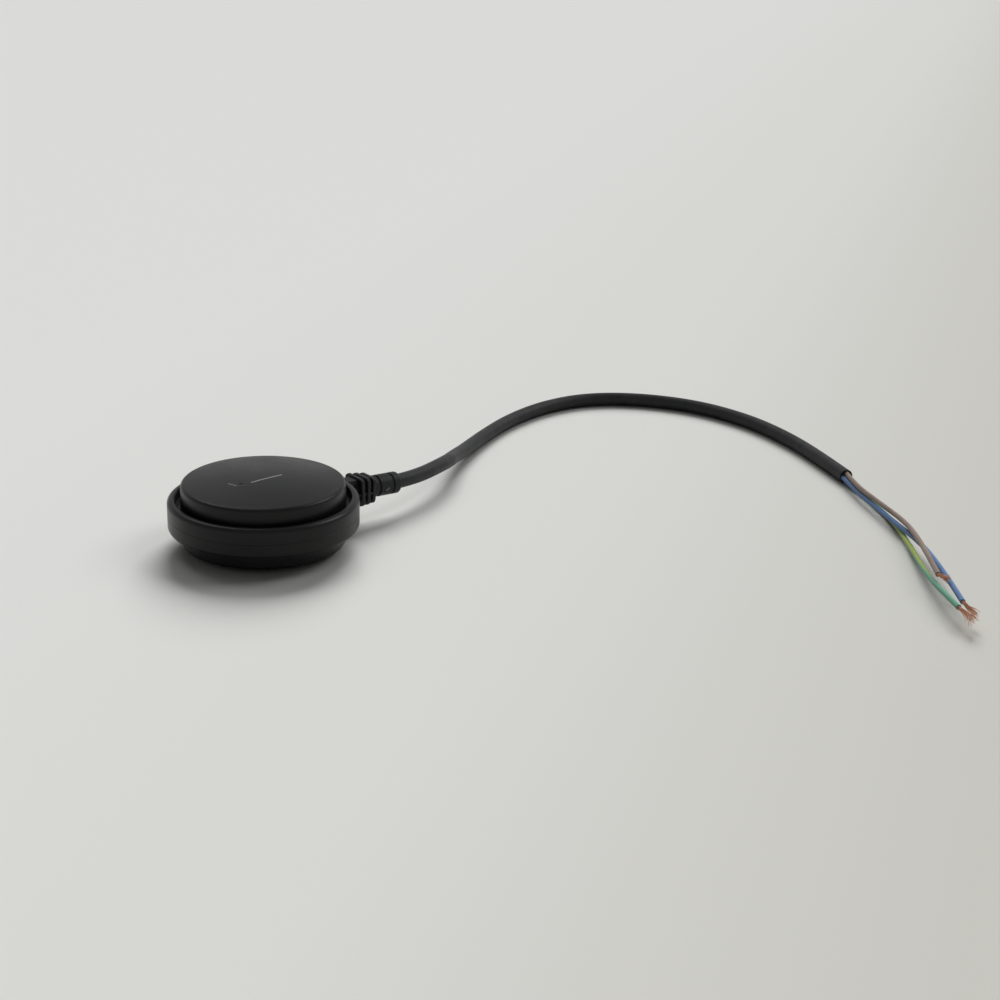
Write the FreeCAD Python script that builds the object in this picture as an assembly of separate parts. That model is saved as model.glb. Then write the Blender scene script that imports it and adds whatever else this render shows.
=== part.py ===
"""Float level switch: a moulded disc float on a three-core rubber cable.

Two half shells meet at the mid-plane and enclose a sealed capsule. Inside it a steel ball rolls
along a channel as the float tilts and leans on the lever of a microswitch at the channel's end.
The cable enters through a finned rubber gland held between the shells, lies along the floor in a
wide bend and ends in three stripped cores. Millimetres, +Z up. The origin is the middle of the
flat spot that the float rests on, and +X points along the gland.
"""
import FreeCAD, Part
import math
import os

V = FreeCAD.Vector

# float shells
RIM_R = 50.0
RIM_HALF = 8.3
RIM_ROUND = 2.5
RIM_LIP_ROUND = 0.8
TRENCH_R = 45.9
TRENCH_FLOOR = 3.6
TRENCH_ROUND = 0.6
LENS_R = 43.2
LENS_DRAFT = 0.3
LENS_STEP = 8.1
LENS_EDGE_ROUND = 2.0
DOME_RISE = 3.0
WALL = 2.2
SEAM_CHAMFER = 0.1
REST_R = 12.0
TONGUE_R = 43.2
TONGUE_WIDTH = 2.0
TONGUE_HEIGHT = 1.6
FIT = 0.05

# gate mark left on the upper lens by the mould
GATE_X = -15.5
GATE_Y = -3.7
GATE_BALL_R = 8.0
GATE_DEPTH = 0.35

# cable and gland
SHEATH_R = 4.1
CORE_R = 1.4
CORE_RING_R = 1.7
SHANK_R = 6.0
COLLAR_R = 7.5
COLLAR_X0 = 43.5
COLLAR_X1 = 46.5
GLAND_X0 = 40.0
BEND_X = 52.0
DROOP_DEG = 3.0
# each fin, a rounded square: its place along the axis, half size, drop below the axis and lean
FINS = ((58.4, 8.0, 0.2, -5.0), (62.3, 7.7, 0.25, -2.0), (66.1, 7.3, 0.3, 1.0))
FIN_CORNER = 3.0
FIN_HALF = 1.1
FIN_ROUND = 0.5
FIN_CORE_R = 5.2
# wide webs above and below, and a thin rib on each side, that tie the fins together
WEB_X0 = 51.0
WEB_HALF = 3.9
WEB_REACH = 6.6
WEB_ROUND = 0.8
RIB_REACH = 7.0
RIB_Z0 = -1.8
RIB_Z1 = -0.6
SLEEVE_R = 6.0
SLEEVE_X0 = 68.6
GROOVES = ((70.0, 72.0, 5.3), (79.6, 81.0, 5.4))
GLAND_END_X = 85.6
GLAND_END_ROUND = 1.3
HUMP_R = 9.6
HUMP_X0 = 39.5
HUMP_ROUND = 1.2

# clamp that grips the sheath inside the float
CLAMP_X0 = 33.5
CLAMP_X1 = 38.5
CLAMP_HALF_Y = 11.0
CLAMP_TOP = 6.8
CLAMP_GAP = 0.3
CLAMP_ROUND = 0.8
CLAMP_SCREW_Y = 7.6
CLAMP_SCREW_DEPTH = 8.0

# pan-head screws of the clamp and of the microswitch
SCREW_R = 1.2
SCREW_HEAD_R = 2.4
SCREW_HEAD_HEIGHT = 1.6
SCREW_HEAD_ROUND = 0.6
SCREW_PASS = 0.15
SCREW_TIP_ROOM = 0.5
SLOT_DEPTH = 0.7
SLOT_REACH = 1.5
SLOT_HALF = 0.3

# sealed capsule, measured from the float's mid-plane
CAPSULE_X0 = -36.0
CAPSULE_X1 = 32.0
CAPSULE_HALF_Y = 16.5
CAPSULE_HALF_Z = 10.5
CAPSULE_WALL = 2.0
CAPSULE_CORNER = 4.0
CAPSULE_SPLIT = 3.0
LIP_HEIGHT = 1.5
LIP_WALL = 0.95
POST_X = (-24.0, 20.0)
POST_Y = 11.0
POST_R = 2.6
PEG_R = 1.25
PEG_HEIGHT = 1.3

# ball and its channel
BALL_R = 7.0
BALL_GAP = 0.3
RAIL_Y = 3.0
RAIL_WIDTH = 1.4
RAIL_CLEAR = 0.03
RAIL_X1 = -10.0
GUIDE_Y = 7.3
GUIDE_WIDTH = 1.4
GUIDE_X1 = -13.0
GUIDE_TOP = 1.0

# microswitch, lying on its side across the capsule
CASE_X0 = -5.0
CASE_DEPTH = 15.9
CASE_HALF_Y = 13.9
CASE_HALF_Z = 5.15
CASE_COVER = 1.4
CASE_ROUND = 1.0
CASE_SCREW_X = 7.0
CASE_SCREW_Y = 11.1
CASE_SCREW_BITE = 3.0
PAD_R = 2.6
PLUNGER_R = 1.6
PLUNGER_Y = -6.9
PLUNGER_OUT = 1.2
PLUNGER_STROKE = 1.2
PLUNGER_INNER = 3.0
PLUNGER_ROOM = 0.3
LEVER_GAP = 0.15
LEVER_THICK = 0.6
LEVER_HALF_Z = 2.4
LEVER_END_Y = 6.0
PIVOT_X = -6.7
PIVOT_Y = -12.2
PIN_R = 0.8
EYE_R = 1.5
EAR_THICK = 1.2
EAR_GAP = 0.15
LEVER_SWING_DEG = 12.8

# terminals, the leads soldered to them and the plug that seals the cable into the capsule
TERMINAL_PITCH = 7.4
BLADE_HALF_Y = 2.4
BLADE_HALF_Z = 0.4
BLADE_IN = 3.0
BLADE_OUT = 6.5
BLADE_CORNER = 0.8
SOLDER_X0 = 15.2
SOLDER_R = 1.1
LEAD_END_X = 18.4
PLUG_X0 = 28.4
PLUG_X1 = 32.3
PLUG_R = 6.0
PLUG_FLANGE_R = 7.2
HOLE_CLEAR = 0.02

# floor route of the sheath, after the gland, as points joined by straight runs and tangent arcs
SHEATH_IN_X = 30.0
SHEATH_TURN_X = 96.0
SHEATH_ROUTE = [
    (134.0, 17.0, 14.5), (150.0, 32.0, 10.0), (168.0, 45.5, 6.4), (202.5, 67.0, 4.3),
    (234.0, 81.5, 4.1), (269.0, 90.0, 4.1), (302.5, 87.0, 4.1), (329.5, 67.5, 4.1),
    (350.0, 34.5, 4.1), (355.5, -7.0, 4.1), (349.5, -46.0, 4.1), (337.8, -83.0, 4.1),
    (324.5, -116.5, 4.1),
]
# where each core sits in the cut end: offset to the near side of the cable, and up
CORE_SEATS = {"brown": (-0.6, 1.6), "blue": (1.67, -0.3), "green_yellow": (-1.09, -1.3)}
# leads inside the float: where each starts round the sheath's axis, then its bends to a terminal
LEAD_ANGLES = {"brown": 90, "blue": 210, "green_yellow": 330}
OUTER_LEAD = [(28.0, 1.47, -0.85), (25.7, 2.9, -0.6), (23.7, 5.9, -0.2), (21.2, 7.4, 0.0)]
MIDDLE_LEAD = [(27.5, 0.0, 1.7), (23.5, 0.0, 0.4), (20.9, 0.0, 0.0)]
CORE_ROUTES = {
    "brown": [
        (314.3, -133.0, 6.7), (303.5, -158.0, 7.0), (286.5, -193.0, 8.3),
        (266.5, -218.0, 9.8), (250.5, -237.5, 10.5), (235.5, -255.5, 10.8),
    ],
    "blue": [
        (312.5, -133.5, 3.5), (298.5, -162.0, 4.2), (283.5, -191.5, 5.3),
        (271.5, -216.0, 6.2), (246.0, -252.0, 7.2), (221.5, -282.5, 8.6),
    ],
    "green_yellow": [
        (322.5, -129.0, 1.9), (313.5, -150.0, 1.4), (297.5, -175.5, 1.4),
        (272.0, -207.5, 2.9), (244.0, -240.5, 5.2), (227.0, -264.0, 7.6), (214.0, -286.0, 8.8),
    ],
}
STRAND_TIPS = {
    "brown": (234.3, -263.5, 10.6),
    "blue": (215.0, -296.5, 7.4),
    "green_yellow": (208.5, -300.5, 7.6),
}
STRAND_R = 0.8
CORE_TUCK = 1.0
STRAND_TUCK = 0.5
STRAND_TIP_R = 1.5
BEND_SHARE = 0.45

# worked out from the dimensions above
HALF_HEIGHT = RIM_HALF + LENS_STEP + DOME_RISE
DOME_R = ((LENS_R - LENS_EDGE_ROUND) ** 2 + DOME_RISE ** 2) / (2 * DOME_RISE)
REST_CUT = DOME_R - math.sqrt(DOME_R ** 2 - REST_R ** 2)
MID_Z = HALF_HEIGHT - REST_CUT
CAVITY_R = LENS_R - WALL
CASE_X1 = CASE_X0 + CASE_DEPTH
LEVER_BACK_X = CASE_X0 - PLUNGER_OUT - LEVER_GAP
LEVER_FRONT_X = LEVER_BACK_X - LEVER_THICK
BALL_START_X = CAPSULE_X0 + CAPSULE_WALL + BALL_R + BALL_GAP
BALL_END_X = LEVER_FRONT_X - BALL_R - FIT * 2
BALL_TRAVEL = BALL_END_X - BALL_START_X
X_AXIS = V(1, 0, 0)
Y_AXIS = V(0, 1, 0)
Z_AXIS = V(0, 0, 1)


def outline(start, *legs):
    """Closed face in the XZ plane: a leg is an end point, or a (mid, end) pair for an arc."""
    here = V(start[0], 0, start[1])
    edges = []
    for leg in legs:
        arc = isinstance(leg[0], tuple)
        end = V(leg[1][0], 0, leg[1][1]) if arc else V(leg[0], 0, leg[1])
        if arc:
            edges.append(Part.Arc(here, V(leg[0][0], 0, leg[0][1]), end).toShape())
        else:
            edges.append(Part.makeLine(here, end))
        here = end
    edges.append(Part.makeLine(here, V(start[0], 0, start[1])))
    return Part.Face(Part.Wire(edges))


def round_corner(centre, radius, start_deg, end_deg):
    """Arc leg about a centre, as the (mid, end) pair that outline takes."""
    mid = math.radians((start_deg + end_deg) / 2)
    end = math.radians(end_deg)
    return (
        (centre[0] + radius * math.cos(mid), centre[1] + radius * math.sin(mid)),
        (centre[0] + radius * math.cos(end), centre[1] + radius * math.sin(end)),
    )


def turned(face, axis=Z_AXIS):
    return face.revolve(V(0, 0, 0), axis, 360)


def block(x0, x1, y0, y1, z0, z1):
    return Part.makeBox(x1 - x0, y1 - y0, z1 - z0, V(x0, y0, z0))


def rod(radius, start, end):
    """Cylinder between two points."""
    span = end - start
    return Part.makeCylinder(radius, span.Length, start, span)


def rounded_block(x0, x1, half_y, z0, z1, corner):
    """Upright box whose four vertical edges are rounded."""
    body = block(x0, x1, -half_y, half_y, z0, z1)
    upright = [e for e in body.Edges if abs(e.tangentAt(e.FirstParameter).z) > 0.99]
    return body.makeFillet(corner, upright)


def merged(first, *others):
    return first.multiFuse(list(others)).removeSplitter()


# ---------------------------------------------------------------- float shells

def dome_legs(top, wall_r, edge_r, dome_r, foot_z):
    """Legs up a wall, round its edge and along the dome to the axis."""
    centre_z = top - dome_r
    edge_x = wall_r - edge_r
    edge_z = centre_z + math.sqrt((dome_r - edge_r) ** 2 - edge_x ** 2)
    lean = math.degrees(math.atan2(edge_z - centre_z, edge_x))
    turn = round_corner((edge_x, edge_z), edge_r, 0, lean)
    half = math.radians((90 + lean) / 2)
    dome_mid = (dome_r * math.cos(half), centre_z + dome_r * math.sin(half))
    return [(wall_r + LENS_DRAFT, foot_z), (wall_r, edge_z), turn, (dome_mid, (0.0, top))]


def half_envelope():
    """Outside of one half of the float above the mid-plane, as a solid."""
    rim_corner = (RIM_R - RIM_ROUND, RIM_HALF - RIM_ROUND)
    lip_corner = (TRENCH_R + RIM_LIP_ROUND, RIM_HALF - RIM_LIP_ROUND)
    foot = (TRENCH_R - TRENCH_ROUND, TRENCH_FLOOR + TRENCH_ROUND)
    return turned(outline(
        (0, 0),
        (RIM_R - SEAM_CHAMFER, 0),
        (RIM_R, SEAM_CHAMFER),
        (RIM_R, RIM_HALF - RIM_ROUND),
        round_corner(rim_corner, RIM_ROUND, 0, 90),
        (lip_corner[0], RIM_HALF),
        round_corner(lip_corner, RIM_LIP_ROUND, 90, 180),
        (TRENCH_R, foot[1]),
        round_corner(foot, TRENCH_ROUND, 0, -90),
        *dome_legs(HALF_HEIGHT, LENS_R - LENS_DRAFT, LENS_EDGE_ROUND, DOME_R, TRENCH_FLOOR),
    ))


def half_cavity():
    """Hollow of one half, a wall's thickness inside the lens."""
    legs = dome_legs(HALF_HEIGHT - WALL, CAVITY_R - LENS_DRAFT, LENS_EDGE_ROUND, DOME_R - WALL, 0)
    return turned(outline((0, 0), *legs))


def cable_hump():
    """Boss round the gland's seat, where the cable crosses the rim."""
    corner = (RIM_R - HUMP_ROUND, HUMP_R - HUMP_ROUND)
    face = outline(
        (HUMP_X0, 0), (RIM_R, 0), (RIM_R, corner[1]),
        round_corner(corner, HUMP_ROUND, 0, 90), (HUMP_X0, HUMP_R),
    )
    return turned(face, X_AXIS)


def gland_seat():
    """Space that the gland's shank and collar fill in the shells."""
    shank = rod(SHANK_R, V(0, 0, 0) + X_AXIS * (HUMP_X0 - 1), X_AXIS * (RIM_R + 1))
    collar = rod(COLLAR_R, X_AXIS * COLLAR_X0, X_AXIS * COLLAR_X1)
    return shank.fuse(collar)


def posts():
    """Four posts that hold the capsule, each with a locating peg at its end."""
    made = []
    for x in POST_X:
        for y in (-POST_Y, POST_Y):
            face_z = CAPSULE_HALF_Z + FIT
            made.append(rod(POST_R, V(x, y, face_z), V(x, y, HALF_HEIGHT)))
            made.append(rod(PEG_R, V(x, y, face_z - PEG_HEIGHT), V(x, y, HALF_HEIGHT)))
    return made[0].multiFuse(made[1:])


def half_shell():
    """Features that both halves share, for the half above the mid-plane."""
    envelope = half_envelope()
    upper_half = block(-2 * RIM_R, 2 * RIM_R, -2 * RIM_R, 2 * RIM_R, 0, 2 * RIM_R)
    walls = envelope.cut(half_cavity())
    hump = cable_hump().common(upper_half)
    return merged(walls, hump, posts().common(envelope))


def ring(inner_r, outer_r, z0, z1):
    outer = Part.makeCylinder(outer_r, z1 - z0, V(0, 0, z0))
    return outer.cut(Part.makeCylinder(inner_r, z1 - z0, V(0, 0, z0)))


def gate_dish():
    """Shallow round hollow where the moulding gate was trimmed."""
    reach = math.hypot(GATE_X, GATE_Y)
    surface_z = HALF_HEIGHT - DOME_R + math.sqrt(DOME_R ** 2 - reach ** 2)
    return Part.makeSphere(GATE_BALL_R, V(GATE_X, GATE_Y, surface_z + GATE_BALL_R - GATE_DEPTH))


def upper_shell():
    groove = ring(TONGUE_R - FIT, TONGUE_R + TONGUE_WIDTH + FIT, 0, TONGUE_HEIGHT + 2 * FIT)
    return half_shell().cut(groove).cut(gland_seat()).cut(gate_dish())


def clamp_cradle():
    """Block under the sheath that the clamp is screwed to, for the half above the mid-plane."""
    body = block(CLAMP_X0, CLAMP_X1, -CLAMP_HALF_Y, CLAMP_HALF_Y, CLAMP_GAP, HALF_HEIGHT)
    body = body.common(half_envelope())
    for y in (-CLAMP_SCREW_Y, CLAMP_SCREW_Y):
        x = (CLAMP_X0 + CLAMP_X1) / 2
        hole = rod(SCREW_R + HOLE_CLEAR, V(x, y, 0), V(x, y, CLAMP_SCREW_DEPTH + SCREW_TIP_ROOM))
        body = body.cut(hole)
    return body


def lower_shell():
    """Mirror of the shared half, with the tongue, the clamp's cradle and the rest flat."""
    tongue = ring(TONGUE_R, TONGUE_R + TONGUE_WIDTH, -TONGUE_HEIGHT, 0)
    body = merged(half_shell(), tongue, clamp_cradle())
    body = body.cut(gland_seat())
    body = body.cut(rod(SHEATH_R, X_AXIS * CLAMP_X0, X_AXIS * CLAMP_X1))
    body = body.cut(Part.makeCylinder(RIM_R, 5, V(0, 0, HALF_HEIGHT - REST_CUT)))
    return body.mirror(V(0, 0, 0), Z_AXIS)


# ---------------------------------------------------------------- gland and clamp

def droop(shape):
    """Turn the part of the gland outside the float down about its bend."""
    tilted = shape.copy()
    tilted.rotate(V(BEND_X, 0, 0), Y_AXIS, DROOP_DEG)
    return tilted


def fin(x, half, drop, lean):
    """Rounded square fin with softened edges, drawn on the gland's axis, then leant and dropped."""
    body = block(x - FIN_HALF, x + FIN_HALF, -half, half, -half, half)
    along = [e for e in body.Edges if abs(e.tangentAt(e.FirstParameter).x) > 0.99]
    body = body.makeFillet(FIN_CORNER, along)
    outer = [e for e in body.Edges if e.BoundBox.XLength < 0.01]
    body = body.makeFillet(FIN_ROUND, outer)
    body.rotate(V(x, 0, 0), Y_AXIS, lean)
    body.translate(V(0, 0, -drop))
    return body


def fin_webs():
    """Webs and side ribs between the rim and the last fin."""
    end_x = FINS[-1][0]
    web = block(WEB_X0, end_x, -WEB_HALF, WEB_HALF, -WEB_REACH, WEB_REACH)
    along = [e for e in web.Edges if abs(e.tangentAt(e.FirstParameter).x) > 0.99]
    web = web.makeFillet(WEB_ROUND, along)
    return web.fuse(block(WEB_X0, end_x, -RIB_REACH, RIB_REACH, RIB_Z0, RIB_Z1))


def gland_sleeve():
    """Plain sleeve with two grooves and a rounded end collar."""
    corner = (GLAND_END_X - GLAND_END_ROUND, SLEEVE_R - GLAND_END_ROUND)
    body = turned(outline(
        (BEND_X, 0), (BEND_X, SHANK_R), (FINS[0][0], FIN_CORE_R), (FINS[-1][0], FIN_CORE_R),
        (SLEEVE_X0, SLEEVE_R), (corner[0], SLEEVE_R),
        round_corner(corner, GLAND_END_ROUND, 90, 0), (GLAND_END_X, 0),
    ), X_AXIS)
    for x0, x1, radius in GROOVES:
        band = rod(SLEEVE_R + 1, X_AXIS * x0, X_AXIS * x1)
        body = body.cut(band.cut(rod(radius, X_AXIS * x0, X_AXIS * x1)))
    return body


def gland_body():
    """Finned gland before its bore: shank and collar level in the shells, the rest drooping."""
    shank = rod(SHANK_R - FIT, X_AXIS * GLAND_X0, X_AXIS * BEND_X)
    collar = rod(COLLAR_R - FIT, X_AXIS * (COLLAR_X0 + FIT), X_AXIS * (COLLAR_X1 - FIT))
    knee = Part.makeSphere(SHANK_R - FIT, V(BEND_X, 0, 0))
    fins = [droop(fin(*each)) for each in FINS]
    return merged(shank, collar, knee, droop(gland_sleeve()), droop(fin_webs()), *fins)


def cable_clamp():
    """Saddle that presses the sheath into the lower shell's cradle."""
    body = block(CLAMP_X0, CLAMP_X1, -CLAMP_HALF_Y, CLAMP_HALF_Y, CLAMP_GAP, CLAMP_TOP)
    top_edges = [e for e in body.Edges if min(v.Z for v in e.Vertexes) > CLAMP_TOP - 0.01]
    body = body.makeFillet(CLAMP_ROUND, top_edges)
    body = body.cut(rod(SHEATH_R, X_AXIS * CLAMP_X0, X_AXIS * CLAMP_X1))
    for y in (-CLAMP_SCREW_Y, CLAMP_SCREW_Y):
        x = (CLAMP_X0 + CLAMP_X1) / 2
        body = body.cut(rod(SCREW_R + SCREW_PASS, V(x, y, 0), V(x, y, CLAMP_TOP + 1)))
    return body


def screw(x, y, head_z, length):
    """Pan-head screw standing along Z, its head on the given height, with a cross slot."""
    head = Part.makeCylinder(SCREW_HEAD_R, SCREW_HEAD_HEIGHT, V(x, y, head_z))
    rim = [e for e in head.Edges if e.Length > SCREW_HEAD_R and e.BoundBox.ZMin > head_z + 0.1]
    head = head.makeFillet(SCREW_HEAD_ROUND, rim)
    shank = rod(SCREW_R, V(x, y, head_z - length), V(x, y, head_z))
    body = head.fuse(shank)
    slot_z = head_z + SCREW_HEAD_HEIGHT - SLOT_DEPTH
    for reach_x, reach_y in ((SLOT_REACH, SLOT_HALF), (SLOT_HALF, SLOT_REACH)):
        body = body.cut(block(x - reach_x, x + reach_x, y - reach_y, y + reach_y, slot_z, slot_z + 1))
    return body


def clamp_screws():
    x = (CLAMP_X0 + CLAMP_X1) / 2
    length = CLAMP_TOP + CLAMP_SCREW_DEPTH
    return Part.makeCompound([screw(x, y, CLAMP_TOP, length) for y in (-CLAMP_SCREW_Y, CLAMP_SCREW_Y)])


# ---------------------------------------------------------------- capsule

def capsule_outside(z0, z1, inset=0.0):
    """Capsule's plan between two heights, drawn in by an inset."""
    return rounded_block(
        CAPSULE_X0 + inset, CAPSULE_X1 - inset, CAPSULE_HALF_Y - inset, z0, z1,
        CAPSULE_CORNER - inset,
    )


def cable_entry():
    return rod(PLUG_R, X_AXIS * (CAPSULE_X1 - 2 * CAPSULE_WALL), X_AXIS * (CAPSULE_X1 + 1))


def peg_holes(face_z):
    """Blind holes for the shells' pegs, into the face at this height."""
    depth = math.copysign(PEG_HEIGHT + FIT, -face_z)
    spots = [V(x, y, face_z) for x in POST_X for y in (-POST_Y, POST_Y)]
    holes = [rod(PEG_R + FIT, spot, spot + Z_AXIS * depth) for spot in spots]
    return holes[0].multiFuse(holes[1:])


def ball_channel():
    """Two rails that the ball rolls on and the guides beside it."""
    floor_z = CAPSULE_WALL - CAPSULE_HALF_Z
    rail_top = -math.sqrt(BALL_R ** 2 - RAIL_Y ** 2) - RAIL_CLEAR
    x0 = CAPSULE_X0 + CAPSULE_WALL
    made = []
    for side in (-1, 1):
        rail_y = sorted((side * RAIL_Y, side * (RAIL_Y + RAIL_WIDTH)))
        guide_y = sorted((side * GUIDE_Y, side * (GUIDE_Y + GUIDE_WIDTH)))
        made.append(block(x0, RAIL_X1, rail_y[0], rail_y[1], floor_z, rail_top))
        made.append(block(x0, GUIDE_X1, guide_y[0], guide_y[1], floor_z, GUIDE_TOP))
    return made


def switch_pads():
    """Pillars that the microswitch is screwed down on."""
    floor_z = CAPSULE_WALL - CAPSULE_HALF_Z
    made = []
    for y in (-CASE_SCREW_Y, CASE_SCREW_Y):
        pad = rod(PAD_R, V(CASE_SCREW_X, y, floor_z), V(CASE_SCREW_X, y, -CASE_HALF_Z))
        made.append(pad.cut(rod(SCREW_R + HOLE_CLEAR, V(CASE_SCREW_X, y, floor_z),
                                V(CASE_SCREW_X, y, 0))))
    return made


def capsule_base():
    floor_z = CAPSULE_WALL - CAPSULE_HALF_Z
    body = capsule_outside(-CAPSULE_HALF_Z, CAPSULE_SPLIT)
    lip = capsule_outside(CAPSULE_SPLIT, CAPSULE_SPLIT + LIP_HEIGHT, CAPSULE_WALL - LIP_WALL)
    body = body.fuse(lip)
    body = body.cut(capsule_outside(floor_z, CAPSULE_HALF_Z, CAPSULE_WALL))
    body = merged(body, *ball_channel(), *switch_pads())
    return body.cut(cable_entry()).cut(peg_holes(-CAPSULE_HALF_Z))


def capsule_cover():
    body = capsule_outside(CAPSULE_SPLIT, CAPSULE_HALF_Z)
    body = body.cut(capsule_outside(0, CAPSULE_HALF_Z - CAPSULE_WALL, CAPSULE_WALL))
    recess = capsule_outside(
        CAPSULE_SPLIT, CAPSULE_SPLIT + LIP_HEIGHT + FIT, CAPSULE_WALL - LIP_WALL - FIT)
    return body.cut(recess).cut(cable_entry()).cut(peg_holes(CAPSULE_HALF_Z))


def seat_yz(colour):
    """Where a core sits inside the sheath at its inner end, across and up from the axis."""
    angle = math.radians(LEAD_ANGLES[colour])
    return CORE_RING_R * math.cos(angle), CORE_RING_R * math.sin(angle)


def potting_plug(leads):
    """Cast resin that seals the sheath and the three leads into the capsule's end."""
    wall_x = CAPSULE_X1 - CAPSULE_WALL
    flange = rod(PLUG_FLANGE_R, X_AXIS * PLUG_X0, X_AXIS * wall_x)
    body = flange.fuse(rod(PLUG_R - HOLE_CLEAR, X_AXIS * PLUG_X0, X_AXIS * PLUG_X1))
    body = body.cut(rod(SHEATH_R + HOLE_CLEAR, X_AXIS * SHEATH_IN_X, X_AXIS * (PLUG_X1 + 1)))
    for shape in leads:
        body = body.cut(shape)
    return body


# ---------------------------------------------------------------- ball and microswitch

def steel_ball():
    return Part.makeSphere(BALL_R, V(BALL_START_X, 0, 0))


def blade_block(y):
    return block(CASE_X1 - BLADE_IN, CASE_X1 + BLADE_OUT, y - BLADE_HALF_Y, y + BLADE_HALF_Y,
                 -BLADE_HALF_Z, BLADE_HALF_Z)


def case_plan(z0, z1):
    """Microswitch's outline between two heights, with its two screw holes."""
    body = block(CASE_X0, CASE_X1, -CASE_HALF_Y, CASE_HALF_Y, z0, z1)
    upright = [e for e in body.Edges if abs(e.tangentAt(e.FirstParameter).z) > 0.99]
    body = body.makeFillet(CASE_ROUND, upright)
    for y in (-CASE_SCREW_Y, CASE_SCREW_Y):
        body = body.cut(rod(SCREW_R + SCREW_PASS, V(CASE_SCREW_X, y, z0), V(CASE_SCREW_X, y, z1)))
    return body


def lever_ears():
    """Two ears on the case that carry the lever's pin."""
    lid_z = CASE_HALF_Z - CASE_COVER
    made = []
    for z0, z1 in ((-LEVER_HALF_Z - EAR_GAP - EAR_THICK, -LEVER_HALF_Z - EAR_GAP),
                   (LEVER_HALF_Z + EAR_GAP, lid_z)):
        ear = rod(EYE_R, V(PIVOT_X, PIVOT_Y, z0), V(PIVOT_X, PIVOT_Y, z1))
        web = block(PIVOT_X, CASE_X0 + 1, PIVOT_Y - EYE_R, PIVOT_Y + EYE_R, z0, z1)
        made.append(ear.fuse(web))
    return made


def microswitch_case():
    body = case_plan(-CASE_HALF_Z, CASE_HALF_Z - CASE_COVER)
    body = merged(body, *lever_ears())
    body = body.cut(rod(PIN_R + HOLE_CLEAR, V(PIVOT_X, PIVOT_Y, -CASE_HALF_Z),
                        V(PIVOT_X, PIVOT_Y, CASE_HALF_Z)))
    bore_end = CASE_X0 + PLUNGER_INNER + PLUNGER_STROKE + PLUNGER_ROOM
    body = body.cut(rod(PLUNGER_R + FIT, V(CASE_X0 - 1, PLUNGER_Y, 0), V(bore_end, PLUNGER_Y, 0)))
    for y in (-TERMINAL_PITCH, 0, TERMINAL_PITCH):
        body = body.cut(blade_block(y))
    return body


def microswitch_cover():
    return case_plan(CASE_HALF_Z - CASE_COVER, CASE_HALF_Z)


def microswitch_screws():
    length = 2 * CASE_HALF_Z + CASE_SCREW_BITE
    return Part.makeCompound(
        [screw(CASE_SCREW_X, y, CASE_HALF_Z, length) for y in (-CASE_SCREW_Y, CASE_SCREW_Y)])


def switch_plunger():
    """Round plunger with a domed tip, drawn released."""
    tip_x = CASE_X0 - PLUNGER_OUT - PLUNGER_STROKE
    ball_x = tip_x + PLUNGER_R
    stem = rod(PLUNGER_R, V(ball_x, PLUNGER_Y, 0), V(CASE_X0 + PLUNGER_INNER, PLUNGER_Y, 0))
    return stem.fuse(Part.makeSphere(PLUNGER_R, V(ball_x, PLUNGER_Y, 0))).removeSplitter()


def switch_lever():
    """Spring-steel strip rolled into an eye round the pin, drawn released."""
    strip = block(LEVER_FRONT_X, LEVER_BACK_X, PIVOT_Y, LEVER_END_Y, -LEVER_HALF_Z, LEVER_HALF_Z)
    eye = rod(EYE_R, V(PIVOT_X, PIVOT_Y, -LEVER_HALF_Z), V(PIVOT_X, PIVOT_Y, LEVER_HALF_Z))
    body = merged(strip, eye)
    body = body.cut(rod(PIN_R + FIT, V(PIVOT_X, PIVOT_Y, -CASE_HALF_Z),
                        V(PIVOT_X, PIVOT_Y, CASE_HALF_Z)))
    body.rotate(V(PIVOT_X, PIVOT_Y, 0), Z_AXIS, LEVER_SWING_DEG)
    return body


def lever_pin():
    bottom = -LEVER_HALF_Z - EAR_GAP - EAR_THICK
    return rod(PIN_R, V(PIVOT_X, PIVOT_Y, bottom), V(PIVOT_X, PIVOT_Y, CASE_HALF_Z - CASE_COVER))


def terminal(y):
    """Push-on blade with its corners taken off."""
    body = blade_block(y)
    tip = [e for e in body.Edges
           if e.BoundBox.XMin > CASE_X1 + BLADE_OUT - 0.01 and e.BoundBox.ZLength > 0.1]
    return body.makeChamfer(BLADE_CORNER, tip)


def solder_joint(y):
    """Rounded bead of solder that holds a lead's bare end on its blade."""
    nose = Part.makeSphere(SOLDER_R, V(SOLDER_X0 + SOLDER_R, y, 0))
    body = nose.fuse(rod(SOLDER_R, V(SOLDER_X0 + SOLDER_R, y, 0), V(LEAD_END_X, y, 0)))
    return body.removeSplitter().cut(blade_block(y))


def solder_joints():
    return Part.makeCompound([solder_joint(y) for y in (-TERMINAL_PITCH, 0, TERMINAL_PITCH)])


# ---------------------------------------------------------------- cable

def corner_radius(before, corner, after):
    """Bend at a corner, which takes the same share of the shorter run on each side of it."""
    back = before - corner
    on = after - corner
    turn = math.pi - back.getAngle(on)
    reach = BEND_SHARE * min(back.Length, on.Length)
    return reach, reach / math.tan(turn / 2), turn


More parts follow.
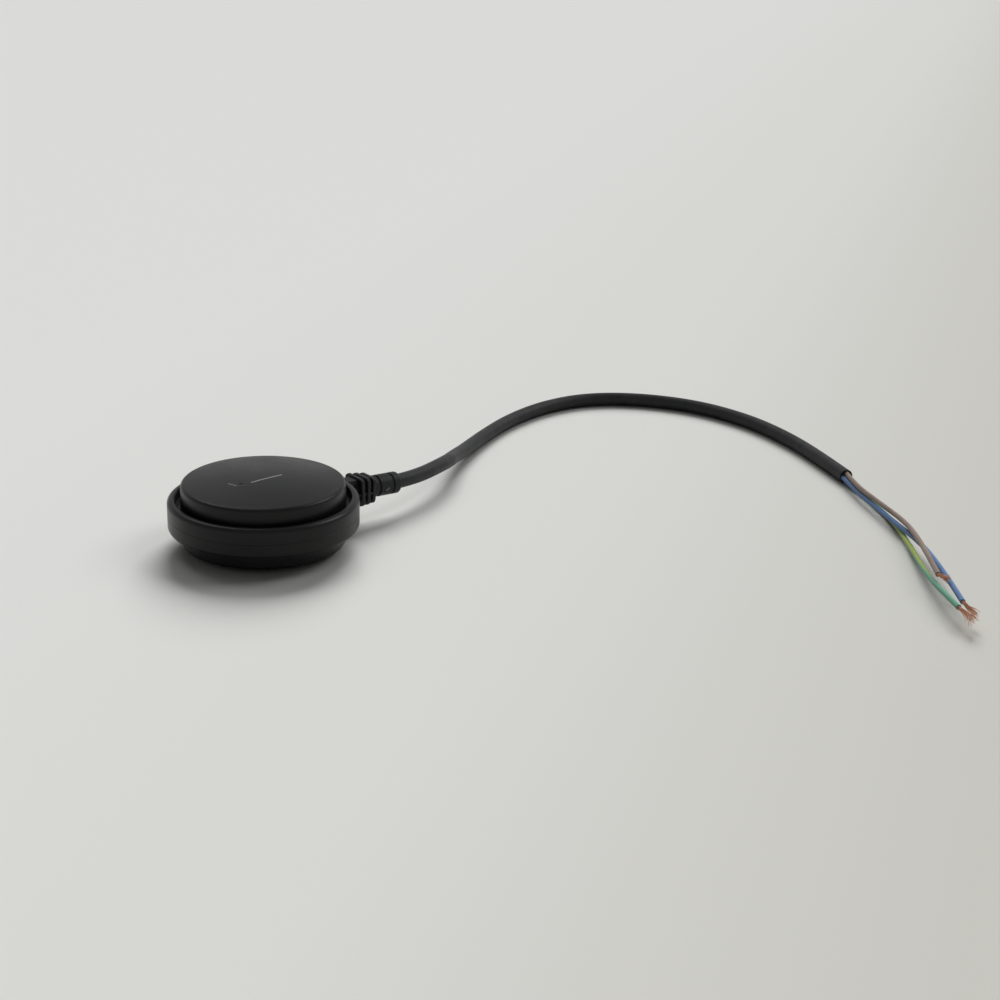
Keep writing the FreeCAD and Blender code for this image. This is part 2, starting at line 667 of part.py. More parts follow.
def route_wire(points, label):
    """Wire of straight runs joined by tangent arcs, with its radii printed."""
    edges = []
    radii = []
    here = points[0]
    for before, corner, after in zip(points, points[1:], points[2:]):
        reach, radius, turn = corner_radius(before, corner, after)
        back = (before - corner).normalize()
        on = (after - corner).normalize()
        start = corner + back * reach
        end = corner + on * reach
        inward = (back + on).normalize()
        mid = corner + inward * (radius / math.cos(turn / 2) - radius)
        edges.append(Part.LineSegment(here, start).toShape())
        edges.append(Part.Arc(start, mid, end).toShape())
        radii.append(round(radius, 1))
        here = end
    edges.append(Part.LineSegment(here, points[-1]).toShape())
    wire = Part.Wire(edges)
    print(label, "length", round(wire.Length, 1), "radii", radii)
    return wire


def tube(points, radius, label):
    """Solid round cord along a route, checked against its section times its length."""
    wire = route_wire(points, label)
    start = points[0]
    heading = points[1] - points[0]
    section = Part.Wire(Part.Circle(start, heading, radius).toShape())
    solid = wire.makePipeShell([section], True, False)
    expected = math.pi * radius ** 2 * wire.Length
    print(label, "volume over section x length", round(solid.Volume / expected, 4))
    return solid


def sheath_points():
    """Sheath's route: level through the float, down the gland's droop, then over the floor."""
    fall = math.tan(math.radians(DROOP_DEG)) * (SHEATH_TURN_X - BEND_X)
    inner = [V(SHEATH_IN_X, 0, MID_Z), V(BEND_X, 0, MID_Z), V(SHEATH_TURN_X, 0, MID_Z - fall)]
    return inner + [V(*point) for point in SHEATH_ROUTE]


def core_points(colour):
    """Core's route from its seat in the sheath's cut end."""
    points = sheath_points()
    heading = (points[-1] - points[-2]).normalize()
    near = heading.cross(Z_AXIS).normalize()
    side, up = CORE_SEATS[colour]
    start = points[-1] + near * side + Z_AXIS * up
    return [start] + [V(*point) for point in CORE_ROUTES[colour]]


def core(colour, sheath):
    """Core started a little inside the sheath and trimmed to the cut end."""
    points = core_points(colour)
    points[0] = points[0] - (points[1] - points[0]).normalize() * CORE_TUCK
    return tube(points, CORE_R, "core_" + colour).cut(sheath)


def strands(colour, insulated):
    """Bundle of bare copper strands, spreading towards its tip, trimmed to the insulation."""
    route = [V(*point) for point in CORE_ROUTES[colour][-2:]]
    start = route[1] - (route[1] - route[0]).normalize() * STRAND_TUCK
    span = V(*STRAND_TIPS[colour]) - start
    return Part.makeCone(STRAND_R, STRAND_TIP_R, span.Length, start, span).cut(insulated)


def lead(colour, row_y):
    """Core inside the float, from the sheath's inner end to its terminal."""
    seat_y, seat_z = seat_yz(colour)
    side = math.copysign(1.0, row_y)
    bends = [V(x, side * y, z) for x, y, z in OUTER_LEAD] if row_y else [V(*p) for p in MIDDLE_LEAD]
    points = [V(SHEATH_IN_X, seat_y, seat_z)] + bends + [V(LEAD_END_X, row_y, 0)]
    return tube(points, CORE_R, "lead_" + colour)


# ---------------------------------------------------------------- assembly

def inner_parts():
    """Everything placed from the float's mid-plane."""
    rows = {"blue": -TERMINAL_PITCH, "brown": 0.0, "green_yellow": TERMINAL_PITCH}
    leads = {"lead_" + colour: lead(colour, y) for colour, y in rows.items()}
    parts = {
        "upper_shell": upper_shell(),
        "lower_shell": lower_shell(),
        "cable_gland": gland_body(),
        "cable_clamp": cable_clamp(),
        "clamp_screws": clamp_screws(),
        "capsule_base": capsule_base(),
        "capsule_cover": capsule_cover(),
        "potting_plug": potting_plug(leads.values()),
        "steel_ball": steel_ball(),
        "microswitch_case": microswitch_case(),
        "microswitch_cover": microswitch_cover(),
        "microswitch_screws": microswitch_screws(),
        "switch_plunger": switch_plunger(),
        "switch_lever": switch_lever(),
        "lever_pin": lever_pin(),
        "terminal_closed": terminal(rows["blue"]),
        "terminal_common": terminal(rows["brown"]),
        "terminal_open": terminal(rows["green_yellow"]),
        "solder_joints": solder_joints(),
    }
    parts.update(leads)
    return parts


def floor_parts():
    """The cord outside the float, placed from the floor."""
    sheath = tube(sheath_points(), SHEATH_R, "cable_sheath")
    parts = {"cable_sheath": sheath}
    for colour in CORE_ROUTES:
        insulated = core(colour, sheath)
        parts["core_" + colour] = insulated
        parts["strands_" + colour] = strands(colour, insulated)
    return parts


def main():
    os.makedirs("parts", exist_ok=True)
    parts = inner_parts()
    for shape in parts.values():
        shape.translate(V(0, 0, MID_Z))
    parts.update(floor_parts())
    parts["cable_gland"] = parts["cable_gland"].cut(parts["cable_sheath"])
    for node, shape in parts.items():
        shape.exportStep("parts/" + node + ".step")
        print(node, "valid", shape.isValid(), "solids", len(shape.Solids),
              "cm3", round(shape.Volume / 1000, 3))
    print("ball travel", round(BALL_TRAVEL, 3), "mid-plane", round(MID_Z, 3))


main()
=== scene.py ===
"""Looks of the float level switch: moulded disc float, finned gland, cable and stripped cores."""
import bpy
import math
import random
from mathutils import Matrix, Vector


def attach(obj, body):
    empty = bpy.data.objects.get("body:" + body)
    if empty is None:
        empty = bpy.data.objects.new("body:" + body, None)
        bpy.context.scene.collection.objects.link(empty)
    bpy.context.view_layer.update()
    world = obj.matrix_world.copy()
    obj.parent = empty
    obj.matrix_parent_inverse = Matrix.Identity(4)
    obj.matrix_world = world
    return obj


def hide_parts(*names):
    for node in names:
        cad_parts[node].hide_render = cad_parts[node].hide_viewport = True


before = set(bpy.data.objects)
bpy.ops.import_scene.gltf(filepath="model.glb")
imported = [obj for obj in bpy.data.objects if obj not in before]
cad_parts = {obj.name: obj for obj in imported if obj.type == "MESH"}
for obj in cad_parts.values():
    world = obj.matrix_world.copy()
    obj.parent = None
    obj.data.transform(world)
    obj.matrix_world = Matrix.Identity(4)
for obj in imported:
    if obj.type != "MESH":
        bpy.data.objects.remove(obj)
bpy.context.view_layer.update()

MM = 0.001
SHEATH_DIAMETER = 8.2 * MM
CORE_DIAMETER = 2.8 * MM
# height of the float's middle plane, in millimetres
MID_Z = 19.147

# control points of each route, in millimetres, from the float outwards
SHEATH_ROUTE = [
    (30.0, 0.0, 19.147), (52.0, 0.0, 19.147), (96.0, 0.0, 16.841), (134.0, 17.0, 14.5),
    (150.0, 32.0, 10.0), (168.0, 45.5, 6.4), (202.5, 67.0, 4.3), (234.0, 81.5, 4.1),
    (269.0, 90.0, 4.1), (302.5, 87.0, 4.1), (329.5, 67.5, 4.1), (350.0, 34.5, 4.1),
    (355.5, -7.0, 4.1), (349.5, -46.0, 4.1), (337.8, -83.0, 4.1), (325.2, -114.8, 4.1),
]
CORE_ROUTES = {
    "brown": [
        (326.2, -113.9, 5.7), (313.2, -133.2, 6.2), (302.2, -158.2, 6.6), (285.8, -193.0, 8.1),
        (266.5, -218.0, 9.8), (250.5, -237.5, 10.5), (235.5, -255.5, 10.8),
    ],
    "blue": [
        (324.0, -113.1, 3.8), (312.5, -133.5, 3.5), (298.5, -162.0, 4.2), (283.5, -191.5, 5.3),
        (271.5, -216.0, 6.2), (246.0, -252.0, 7.2), (221.5, -282.5, 8.6),
    ],
    "green_yellow": [
        (326.6, -114.1, 2.8), (319.0, -129.5, 1.5), (309.0, -150.0, 1.4), (296.0, -175.5, 1.4),
        (272.0, -207.5, 2.9), (244.0, -240.5, 5.2), (227.0, -264.0, 7.6), (214.0, -286.0, 8.8),
    ],
}
STRAND_TIPS = {
    "brown": (234.3, -263.5, 10.6),
    "blue": (215.0, -296.5, 7.4),
    "green_yellow": (208.5, -300.5, 7.6),
}


# ---------------------------------------------------------------- finishes

# colour of the light marks: on the lens a scratch and painted glints, on the gland a light mark
LIGHT_MARK_COLOUR = (0.3, 0.3, 0.3)
DUST_COLOUR = (0.06, 0.06, 0.058)
# light marks on the lens: a scratch lightened by a painted glint along it, and a painted glint on
# the lit wall of the gate dimple; start, end and half width in millimetres, and strength
LENS_SCRATCH_AND_GLINTS = [
    ((-9.8, -4.4, 38.36), (8.7, -3.6, 38.42), 0.75, 0.7),
    ((-19.9, 1.9, 37.86), (-18.4, -3.2, 37.94), 0.65, 0.4),
]
# a small light mark on the near side of the gland's sleeve, in the same columns
GLAND_LIGHT_MARK = [((75.3, -5.9, 16.5), (76.7, -5.9, 17.3), 0.8, 0.5)]
# share of a light mark's half width that is at full strength
LIGHT_MARK_CORE = 0.25
GREEN = (0.13, 0.33, 0.235)
YELLOW = (0.34, 0.43, 0.1)
# where yellow ends and green starts: in turns round a core, in diameters down a lead
STRIPE_EDGE = (0.15, 0.18)
# turns that the stripe makes over a core's length
STRIPE_TURNS = 1.2
HALF_TURN = 0.5
# height that the diameters down a lead are counted from
LEAD_STRIPE_TOP = (MID_Z + 0.9) * MM
INSULATION_ROUGHNESS = 0.42
INSULATION_SPECULAR = 0.35

# how fine each pattern is, in grains per metre
MOTTLE_SCALE = 30.0
POLISH_SCALE = 45.0
DUST_SCALE = 420.0
MOULD_GRAIN_SCALE = 2600.0
SKIN_SCALE = 140.0
RUBBER_GRAIN_SCALE = 900.0
STAIN_SCALE = 260.0
METAL_GRAIN_SCALE = 900.0
# dust pattern: where a speck starts and where it is at full strength, and that strength
DUST_EDGE = (0.76, 0.8)
DUST_STRENGTH = 0.5


def finish_nodes(name, colour, roughness, specular=0.5):
    """New material with its shader set; returns the material, its tree and the shader."""
    material = bpy.data.materials.new(name)
    material.use_nodes = True
    tree = material.node_tree
    shader = tree.nodes["Principled BSDF"]
    shader.inputs["Base Color"].default_value = (*colour, 1.0)
    shader.inputs["Roughness"].default_value = roughness
    shader.inputs["Specular IOR Level"].default_value = specular
    return material, tree, shader


def place(tree, source="Object"):
    return tree.nodes.new("ShaderNodeTexCoord").outputs[source]


def noise(tree, vector, scale, detail=3.0, roughness=0.5):
    node = tree.nodes.new("ShaderNodeTexNoise")
    node.inputs["Scale"].default_value = scale
    node.inputs["Detail"].default_value = detail
    node.inputs["Roughness"].default_value = roughness
    tree.links.new(vector, node.inputs["Vector"])
    return node.outputs["Fac"]


def ramp(tree, value, *stops):
    """Colour ramp; a stop is its position and its colour, or a grey level."""
    node = tree.nodes.new("ShaderNodeValToRGB")
    elements = node.color_ramp.elements
    while len(elements) < len(stops):
        elements.new(0.5)
    for element, (position, colour) in zip(elements, stops):
        element.position = position
        element.color = (*colour, 1.0) if isinstance(colour, tuple) else (colour,) * 3 + (1.0,)
    tree.links.new(value, node.inputs["Fac"])
    return node.outputs["Color"]


def varied(tree, pattern, low, high, low_at=0.3, high_at=0.7):
    """Low value in the troughs of a pattern and high value on its peaks."""
    return ramp(tree, pattern, (low_at, low), (high_at, high))


def bump(tree, shader, height, strength, distance):
    """Bump on top of what the shader's normal already has."""
    node = tree.nodes.new("ShaderNodeBump")
    node.inputs["Strength"].default_value = strength
    node.inputs["Distance"].default_value = distance
    tree.links.new(height, node.inputs["Height"])
    if shader.inputs["Normal"].is_linked:
        tree.links.new(shader.inputs["Normal"].links[0].from_socket, node.inputs["Normal"])
    tree.links.new(node.outputs["Normal"], shader.inputs["Normal"])


def math_node(tree, operation, first, second=None, third=None):
    """Math node; each input is a socket or a number."""
    node = tree.nodes.new("ShaderNodeMath")
    node.operation = operation
    for slot, value in enumerate((first, second, third)):
        if isinstance(value, bpy.types.NodeSocket):
            tree.links.new(value, node.inputs[slot])
        elif value is not None:
            node.inputs[slot].default_value = value
    return node.outputs["Value"]


def vector_node(tree, operation, first, second):
    """Vector math node; each input is a socket or three numbers."""
    node = tree.nodes.new("ShaderNodeVectorMath")
    node.operation = operation
    for slot, value in enumerate((first, second)):
        if isinstance(value, bpy.types.NodeSocket):
            tree.links.new(value, node.inputs[slot])
        else:
            node.inputs[slot].default_value = value
    return node.outputs


def mixed(tree, share, base, top):
    """Base colour with another over it where the share is high; each a socket or a colour."""
    node = tree.nodes.new("ShaderNodeMix")
    node.data_type = "RGBA"
    tree.links.new(share, node.inputs["Factor"])
    for slot, colour in (("A", base), ("B", top)):
        socket = [each for each in node.inputs if each.name == slot and each.type == "RGBA"][0]
        if isinstance(colour, bpy.types.NodeSocket):
            tree.links.new(colour, socket)
        else:
            socket.default_value = (*colour, 1.0)
    return [each for each in node.outputs if each.type == "RGBA"][0]


def streak(tree, start, end, half_width, level):
    """Share that is high on a straight mark between two places and fades off it."""
    start = Vector(start) * MM
    end = Vector(end) * MM
    span = end - start
    offset = vector_node(tree, "SUBTRACT", place(tree), start)["Vector"]
    along = vector_node(tree, "DOT_PRODUCT", offset, span / span.length_squared)["Value"]
    part = math_node(tree, "MINIMUM", math_node(tree, "MAXIMUM", along, 0.0), 1.0)
    nearest = tree.nodes.new("ShaderNodeVectorMath")
    nearest.operation = "SCALE"
    nearest.inputs[0].default_value = span
    tree.links.new(part, nearest.inputs["Scale"])
    gap = vector_node(tree, "DISTANCE", offset, nearest.outputs["Vector"])["Value"]
    reach = math_node(tree, "DIVIDE", gap, half_width * MM)
    return ramp(tree, reach, (LIGHT_MARK_CORE, level), (1.0, 0.0))


def with_light_marks(tree, colour, marks):
    """Colour with light marks over it; on the lens they are a scratch and painted glints."""
    for start, end, half_width, level in marks:
        colour = mixed(tree, streak(tree, start, end, half_width, level), colour, LIGHT_MARK_COLOUR)
    return colour


def dust_specks(tree, where):
    """Share that is high on sparse specks of dust."""
    pattern = noise(tree, where, DUST_SCALE, detail=2.0)
    return ramp(tree, pattern, (DUST_EDGE[0], 0.0), (DUST_EDGE[1], DUST_STRENGTH))


def grain_bump(tree, shader, strength):
    """Fine grain of rubber and of soft insulation."""
    grain = noise(tree, place(tree), RUBBER_GRAIN_SCALE)
    bump(tree, shader, grain, strength, distance=0.0002)


def moulded_plastic(name, low, high, roughness, specular):
    """Dark moulded plastic: faint mottling, dull and shiny patches, a scratch and painted glints
    on the lens, dust, eroded grain.
    """
    material, tree, shader = finish_nodes(name, high, roughness, specular)
    where = place(tree)
    colour = varied(tree, noise(tree, where, MOTTLE_SCALE, detail=4.0), low, high)
    # painted glints: a light line along a scratch on the lens, and one on the lit wall of the gate
    # dimple
    colour = with_light_marks(tree, colour, LENS_SCRATCH_AND_GLINTS)
    colour = mixed(tree, dust_specks(tree, where), colour, DUST_COLOUR)
    tree.links.new(colour, shader.inputs["Base Color"])
    polish = noise(tree, where, POLISH_SCALE, detail=5.0)
    tree.links.new(varied(tree, polish, roughness - 0.04, roughness + 0.07),
                   shader.inputs["Roughness"])
    grain = noise(tree, where, MOULD_GRAIN_SCALE, detail=2.0)
    bump(tree, shader, grain, strength=0.1, distance=0.0001)
    return material


def rubber(name, low, high, roughness, specular=0.3, light_marks=()):
    """Satin rubber or soft plastic with an uneven skin and fine grain."""
    material, tree, shader = finish_nodes(name, high, roughness, specular)
    skin = noise(tree, place(tree), SKIN_SCALE, detail=5.0, roughness=0.6)
    colour = varied(tree, skin, low, high, low_at=0.35)
    tree.links.new(with_light_marks(tree, colour, light_marks), shader.inputs["Base Color"])
    grain_bump(tree, shader, strength=0.2)
    return material


def banded(tree, position, ground, stripe):
    """Stripe where the position is low, ground colour elsewhere."""
    return ramp(tree, position, (STRIPE_EDGE[0], stripe), (STRIPE_EDGE[1], ground))


def striped_insulation(name, ground, stripe):
    """Insulation with a lengthwise stripe that winds slowly round it."""
    material, tree, shader = finish_nodes(
        name, ground, INSULATION_ROUGHNESS, INSULATION_SPECULAR)
    split = tree.nodes.new("ShaderNodeSeparateXYZ")
    tree.links.new(place(tree, "UV"), split.inputs["Vector"])
    twist = math_node(tree, "MULTIPLY_ADD", split.outputs["X"], STRIPE_TURNS, split.outputs["Y"])
    colour = banded(tree, math_node(tree, "PINGPONG", twist, HALF_TURN), ground, stripe)
    tree.links.new(colour, shader.inputs["Base Color"])
    grain_bump(tree, shader, strength=0.15)
    return material


def striped_lead(name, ground, stripe):
    """The same insulation inside the float, its stripe along the top of the lead."""
    material, tree, shader = finish_nodes(
        name, ground, INSULATION_ROUGHNESS, INSULATION_SPECULAR)
    split = tree.nodes.new("ShaderNodeSeparateXYZ")
    tree.links.new(place(tree), split.inputs["Vector"])
    below = math_node(tree, "SUBTRACT", LEAD_STRIPE_TOP, split.outputs["Z"])
    colour = banded(tree, math_node(tree, "DIVIDE", below, CORE_DIAMETER), ground, stripe)
    tree.links.new(colour, shader.inputs["Base Color"])
    grain_bump(tree, shader, strength=0.15)
    return material


def metal(name, low, high, roughness, grain_stretch=(1.0, 1.0, 1.0),
          grain_scale=METAL_GRAIN_SCALE):
    """Bare metal with a drawn or rolled grain and slight staining."""
    material, tree, shader = finish_nodes(name, high, roughness)
    shader.inputs["Metallic"].default_value = 1.0
    stretch = tree.nodes.new("ShaderNodeMapping")
    stretch.inputs["Scale"].default_value = grain_stretch
    tree.links.new(place(tree), stretch.inputs["Vector"])
    grain = noise(tree, stretch.outputs["Vector"], grain_scale)
    stains = noise(tree, place(tree), STAIN_SCALE, detail=4.0)
    tree.links.new(varied(tree, stains, low, high), shader.inputs["Base Color"])
    tree.links.new(varied(tree, grain, roughness - 0.05, roughness + 0.08),
                   shader.inputs["Roughness"])
    bump(tree, shader, grain, strength=0.12, distance=0.0001)
    return material


FLOAT_FINISH = moulded_plastic(
    "float_plastic", (0.0085, 0.0087, 0.009), (0.012, 0.0122, 0.0126),
    roughness=0.3, specular=0.2)
GLAND_FINISH = rubber(
    "gland_rubber", (0.015, 0.0156, 0.0168), (0.024, 0.025, 0.0268),
    roughness=0.5, specular=0.25, light_marks=GLAND_LIGHT_MARK)
SHEATH_FINISH = rubber(
    "sheath_rubber", (0.026, 0.0264, 0.0276), (0.041, 0.0416, 0.0436),
    roughness=0.52, specular=0.22)
CORE_FINISH = {
    "brown": rubber(
        "brown_insulation", (0.22, 0.165, 0.135), (0.27, 0.205, 0.17), INSULATION_ROUGHNESS),
    "blue": rubber(
        "blue_insulation", (0.09, 0.165, 0.33), (0.11, 0.195, 0.38), INSULATION_ROUGHNESS),
    "green_yellow": striped_insulation("green_yellow_insulation", GREEN, YELLOW),
}
LEAD_FINISH = dict(
    CORE_FINISH, green_yellow=striped_lead("green_yellow_lead", GREEN, YELLOW))
COPPER = metal("copper_strands", (0.62, 0.33, 0.22), (0.8, 0.45, 0.3), roughness=0.45)
INNER_FINISHES = {
    rubber("capsule_plastic", (0.7, 0.69, 0.65), (0.78, 0.77, 0.73), roughness=0.45):
        ("cable_clamp", "capsule_base", "capsule_cover"),
    rubber("switch_plastic", (0.018, 0.018, 0.019), (0.028, 0.028, 0.03), roughness=0.35):
        ("microswitch_case", "microswitch_cover"),
    rubber("plunger_plastic", (0.5, 0.08, 0.05), (0.62, 0.11, 0.07), roughness=0.35):
        ("switch_plunger",),
    rubber("potting_resin", (0.03, 0.03, 0.031), (0.045, 0.045, 0.047), roughness=0.18):
        ("potting_plug",),
    metal("zinc_plated_steel", (0.52, 0.53, 0.54), (0.66, 0.66, 0.65), roughness=0.32):
        ("clamp_screws", "microswitch_screws"),
    metal("ground_steel", (0.62, 0.62, 0.63), (0.7, 0.7, 0.71), roughness=0.1,
          grain_scale=400.0):
        ("steel_ball",),
    metal("spring_steel", (0.48, 0.48, 0.49), (0.58, 0.58, 0.58), roughness=0.28,
          grain_stretch=(1.0, 0.05, 1.0)):
        ("switch_lever", "lever_pin"),
    metal("tinned_brass", (0.6, 0.52, 0.33), (0.72, 0.64, 0.42), roughness=0.3,
          grain_stretch=(0.05, 1.0, 1.0)):
        ("terminal_closed", "terminal_common", "terminal_open"),
    metal("solder", (0.5, 0.5, 0.5), (0.66, 0.66, 0.66), roughness=0.35):
        ("solder_joints",),
}


# ---------------------------------------------------------------- cable and cores

def add_smooth_line(data, points):
    """One smooth line in a curve, led by control points in metres."""
    spline = data.splines.new("NURBS")
    spline.points.add(len(points) - 1)
    for point, position in zip(spline.points, points):
        point.co = (*position, 1.0)
    spline.order_u = 3
    spline.use_endpoint_u = True


def routed_cord(name, points, diameter, finish):
    """Round cord on one smooth line through the route's control points."""
    data = bpy.data.curves.new(name, "CURVE")
    data.dimensions = "3D"
    data.resolution_u = 24
    data.bevel_depth = diameter / 2
    data.bevel_resolution = 7
    data.use_fill_caps = True
    add_smooth_line(data, [(x * MM, y * MM, z * MM) for x, y, z in points])
    cord = bpy.data.objects.new(name, data)
    bpy.context.scene.collection.objects.link(cord)
    data.materials.append(finish)
    return cord


def deselect_all():
    bpy.ops.object.select_all(action="DESELECT")


LIP_LENGTH = 0.7 * MM
LIP_WALL = 1.0 * MM
LIP_RAGGED = 0.15 * MM
LIP_ROUND = 0.12 * MM
# how far the lip lies inside the jacket's surface, and how far back it starts
LIP_INSET = 0.03 * MM
LIP_OVERLAP = 0.3 * MM
# share of the lip's length that each step rises, and the factor by which it widens
LIP_STEPS = ((0.4, 1.004), (0.6, 0.992))
# how near the edge a point is ragged
LIP_EDGE = 0.01 * MM
SMOOTH_ANGLE = math.radians(40.0)


def cut_lip():
    """Edge of the jacket where it was cut, standing a little beyond its filling."""
    rng = random.Random("cut lip")
    end = Vector(SHEATH_ROUTE[-1]) * MM
    heading = (end - Vector(SHEATH_ROUTE[-2]) * MM).normalized()
    deselect_all()
    bpy.ops.mesh.primitive_circle_add(vertices=48, radius=SHEATH_DIAMETER / 2 - LIP_INSET)
    lip = bpy.context.object
    lip.name = "sheath_cut_lip"
    bpy.ops.object.mode_set(mode="EDIT")
    bpy.ops.mesh.select_all(action="SELECT")
    for rise, flare in LIP_STEPS:
        bpy.ops.mesh.extrude_region_move(
            TRANSFORM_OT_translate={"value": (0.0, 0.0, rise * LIP_LENGTH)})
        bpy.ops.transform.resize(value=(flare, flare, 1.0))
    bpy.ops.mesh.select_all(action="SELECT")
    bpy.ops.mesh.normals_make_consistent(inside=False)
    bpy.ops.object.mode_set(mode="OBJECT")
    top = max(vertex.co.z for vertex in lip.data.vertices)
    for vertex in lip.data.vertices:
        if vertex.co.z > top - LIP_EDGE:
            vertex.co.z += rng.uniform(-LIP_RAGGED, LIP_RAGGED)
    wall = lip.modifiers.new("wall", "SOLIDIFY")
    wall.thickness = LIP_WALL
    wall.offset = -1.0
    softened = lip.modifiers.new("softened", "BEVEL")
    softened.width = LIP_ROUND
    softened.segments = 2
    for name in ("wall", "softened"):
        bpy.ops.object.modifier_apply(modifier=name)
    lip.rotation_euler = heading.to_track_quat("Z", "Y").to_euler()
    lip.location = end - heading * LIP_OVERLAP
    bpy.ops.object.transform_apply(location=True, rotation=True, scale=True)
    bpy.ops.object.shade_smooth_by_angle(angle=SMOOTH_ANGLE)
    lip.data.materials.append(SHEATH_FINISH)
    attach(lip, "float")
    return lip


sheath = routed_cord("sheath", SHEATH_ROUTE, SHEATH_DIAMETER, SHEATH_FINISH)
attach(sheath, "float")
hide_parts("cable_sheath")
cut_lip()


# ---------------------------------------------------------------- bare copper strands

WIRE_RADIUS = 0.105 * MM
BUNDLE_RADIUS = 0.8 * MM
# wires in each ring of a bundle, from its middle out
RING_SIZES = (1, 6, 12, 13)
# control points of a wire, and how far it winds round its bundle, in radians
WIRE_POINTS = 6
WIRE_LAY_TURN = 1.6
# differences between wires: place round the ring in radians, length and straying
WIRE_JITTER = 0.12
WIRE_REACH = (0.82, 1.04)
WIRE_STRAY = (0.6, 1.25)
# extra straying at a wire's end, and the share of the bare length that is in the insulation
END_STRAY = 0.25 * MM
STRAND_TUCK = 0.06
# how many times wider each bundle ends than it starts
FRAY = {"brown": 2.0, "blue": 2.4, "green_yellow": 3.3}


def wire_points(start, tip, ring_radius, angle, fray, rng):
    """One wire: it leaves the insulation in its bundle, winds with it and strays near its end."""
    along = tip - start
    across = along.cross(Vector((0, 0, 1))).normalized()
    up = across.cross(along).normalized()
    reach = rng.uniform(*WIRE_REACH)
    stray = fray * rng.uniform(*WIRE_STRAY)
    points = []
    for step in range(WIRE_POINTS):
        part = step / (WIRE_POINTS - 1)
        turn = angle + WIRE_LAY_TURN * part
        radius = ring_radius * (1 + (stray - 1) * part ** 2)
        radius += END_STRAY * part ** 3 * (stray - 1)
        side = across * math.cos(turn) + up * math.sin(turn)
        points.append(start + along * (reach * part - STRAND_TUCK) + side * radius)
    return points


def strand_bundle(colour):
    """Bare copper wires of one core, splayed at their ends."""
    rng = random.Random("strands " + colour)
    start = Vector(CORE_ROUTES[colour][-1]) * MM
    tip = Vector(STRAND_TIPS[colour]) * MM
    data = bpy.data.curves.new("copper_" + colour, "CURVE")
    data.dimensions = "3D"
    data.resolution_u = 4
    data.bevel_depth = WIRE_RADIUS
    data.bevel_resolution = 1
    data.use_fill_caps = True
    ring_of_wire = [ring for ring, size in enumerate(RING_SIZES) for _ in range(size)]
    for index, ring in enumerate(ring_of_wire):
        angle = 2 * math.pi * index / RING_SIZES[ring] + rng.uniform(-WIRE_JITTER, WIRE_JITTER)
        ring_radius = BUNDLE_RADIUS * ring / (len(RING_SIZES) - 1)
        add_smooth_line(data, wire_points(start, tip, ring_radius, angle, FRAY[colour], rng))
    bundle = bpy.data.objects.new("copper_" + colour, data)
    bpy.context.scene.collection.objects.link(bundle)
    deselect_all()
    bundle.select_set(True)
    bpy.context.view_layer.objects.active = bundle
    bpy.ops.object.convert(target="MESH")
    bpy.ops.object.shade_smooth()
    bundle = bpy.context.object
    bundle.data.materials.append(COPPER)
    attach(bundle, "float")
    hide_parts("strands_" + colour)
    return bundle


for colour, route in CORE_ROUTES.items():
    core = routed_cord("insulated_core_" + colour, route, CORE_DIAMETER, CORE_FINISH[colour])
    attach(core, "float")
    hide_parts("core_" + colour)
    strand_bundle(colour)


# ---------------------------------------------------------------- finishes of the other nodes

def dress(node, finish):
    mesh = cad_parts[node].data
    mesh.materials.clear()
    mesh.materials.append(finish)


for node in ("upper_shell", "lower_shell"):
    dress(node, FLOAT_FINISH)
dress("cable_gland", GLAND_FINISH)
for colour, finish in LEAD_FINISH.items():
    dress("lead_" + colour, finish)
for finish, nodes in INNER_FINISHES.items():
    for node in nodes:
        dress(node, finish)


# ---------------------------------------------------------------- floor, light and camera

FLOOR_RADIUS = 12.0
# painted shade on the floor: where it starts and ends growing dimmer, in metres along the
# direction away from the light
PAINTED_FLOOR_DIMMING = (-0.2, 0.4)
PAINTED_DIM_DIRECTION = (0.587, -0.863, 0.0)
# share of that stretch, and the floor's painted colour there, darker away from the light
PAINTED_FLOOR_TONES = (
    (0.0, (0.67, 0.67, 0.652)),
    (0.6, (0.63, 0.63, 0.607)),
    (1.0, (0.535, 0.529, 0.493)),
)
# backdrop: height and level where it is palest, and where it is darkest
HORIZON = (0.08, 0.56)
ZENITH = (0.45, 0.35)
FILL_LEVEL = 0.12
# soft lamps far away: direction to each, spread in degrees, power, shown by shiny surfaces
LAMPS = {
    "key_light": ((0.95, 0.95, 1.0), 34.0, 3.7, False),
    "left_light": ((0.03, 0.75, 1.0), 30.0, 0.35, True),
    "right_light": ((1.09, -0.24, 1.0), 30.0, 0.7, True),
}
CAMERA_PLACE = (-0.5279, -0.8343, 0.3868)
CAMERA_TURN_DEG = (69.8827, -1.181, -39.0674)
CAMERA_LENS = 72.0
CAMERA_SENSOR = 36.0


def lay_floor():
    bpy.ops.mesh.primitive_circle_add(vertices=64, radius=FLOOR_RADIUS, fill_type="NGON")
    floor = bpy.context.object
    floor.name = "floor"
    material, tree, shader = finish_nodes(
        "floor_with_painted_shade", PAINTED_FLOOR_TONES[0][1], roughness=0.8, specular=0.1)
    # painted shade: the floor's colour grows darker away from the light
    along = vector_node(tree, "DOT_PRODUCT", place(tree), PAINTED_DIM_DIRECTION)["Value"]
    start, end = PAINTED_FLOOR_DIMMING
    share = math_node(tree, "DIVIDE", math_node(tree, "SUBTRACT", along, start), end - start)
    tree.links.new(ramp(tree, share, *PAINTED_FLOOR_TONES), shader.inputs["Base Color"])
    floor.data.materials.append(material)


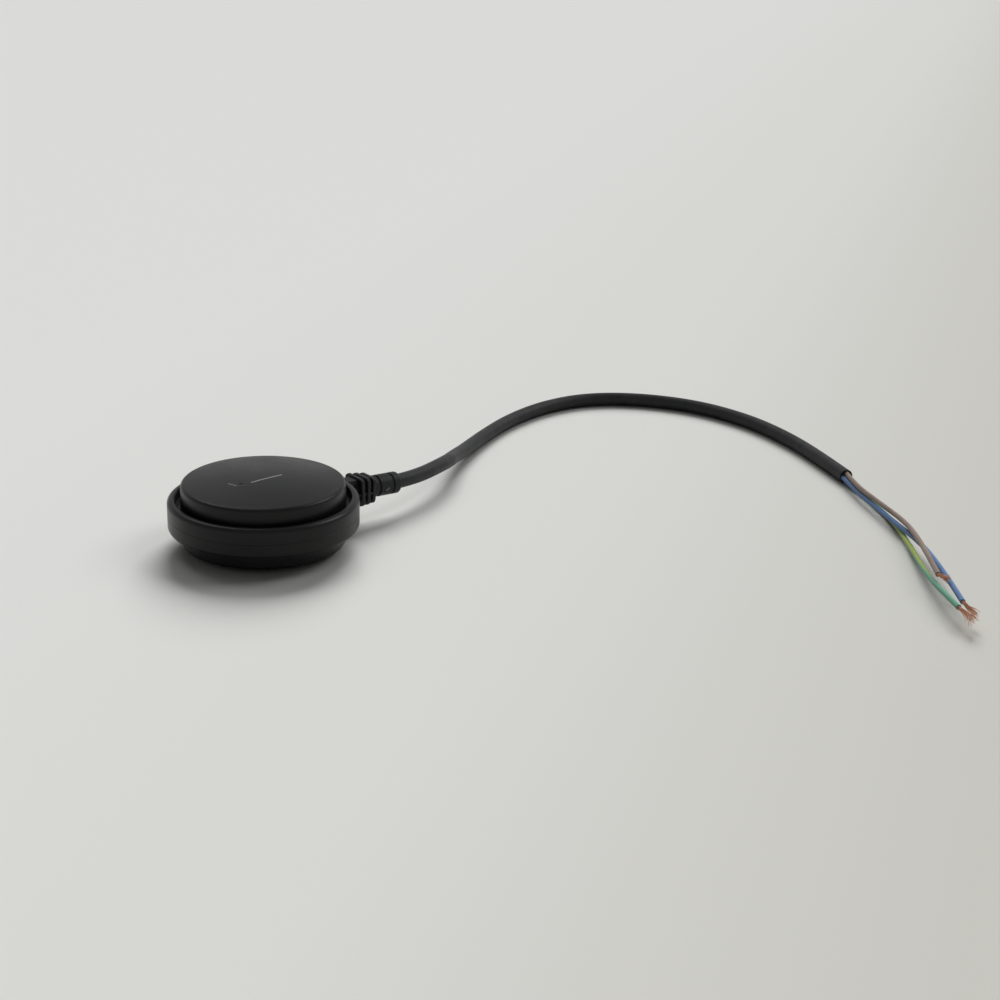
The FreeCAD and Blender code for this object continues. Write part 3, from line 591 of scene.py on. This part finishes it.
def hang_lamp(name, direction, spread_deg, power, in_reflections):
    data = bpy.data.lights.new(name, "SUN")
    data.angle = math.radians(spread_deg)
    data.energy = power
    lamp = bpy.data.objects.new(name, data)
    bpy.context.scene.collection.objects.link(lamp)
    lamp.rotation_euler = Vector(direction).to_track_quat("Z", "Y").to_euler()
    lamp.visible_glossy = in_reflections


def studio_world():
    """Even fill, and for the camera and shiny surfaces a pale backdrop, darker overhead."""
    world = bpy.data.worlds.new("studio")
    bpy.context.scene.world = world
    world.use_nodes = True
    tree = world.node_tree
    fill = tree.nodes["Background"]
    fill.inputs["Color"].default_value = (1.0, 1.0, 1.0, 1.0)
    fill.inputs["Strength"].default_value = FILL_LEVEL
    seen = tree.nodes.new("ShaderNodeBackground")
    height = tree.nodes.new("ShaderNodeSeparateXYZ")
    tree.links.new(place(tree, "Generated"), height.inputs["Vector"])
    tree.links.new(ramp(tree, height.outputs["Z"], HORIZON, ZENITH), seen.inputs["Color"])
    path = tree.nodes.new("ShaderNodeLightPath").outputs
    camera_or_gloss = math_node(tree, "MAXIMUM", path["Is Camera Ray"], path["Is Glossy Ray"])
    share = math_node(tree, "MAXIMUM", camera_or_gloss, path["Is Transmission Ray"])
    mix = tree.nodes.new("ShaderNodeMixShader")
    tree.links.new(share, mix.inputs["Fac"])
    tree.links.new(fill.outputs["Background"], mix.inputs[1])
    tree.links.new(seen.outputs["Background"], mix.inputs[2])
    tree.links.new(mix.outputs["Shader"], tree.nodes["World Output"].inputs["Surface"])


lay_floor()
for lamp_name, lamp_settings in LAMPS.items():
    hang_lamp(lamp_name, *lamp_settings)
studio_world()

camera_data = bpy.data.cameras.new("camera")
camera_data.lens = CAMERA_LENS
camera_data.sensor_width = CAMERA_SENSOR
camera = bpy.data.objects.new("camera", camera_data)
bpy.context.scene.collection.objects.link(camera)
camera.location = CAMERA_PLACE
camera.rotation_euler = [math.radians(turn) for turn in CAMERA_TURN_DEG]
bpy.context.scene.camera = camera
bpy.context.scene.view_settings.view_transform = "Standard"
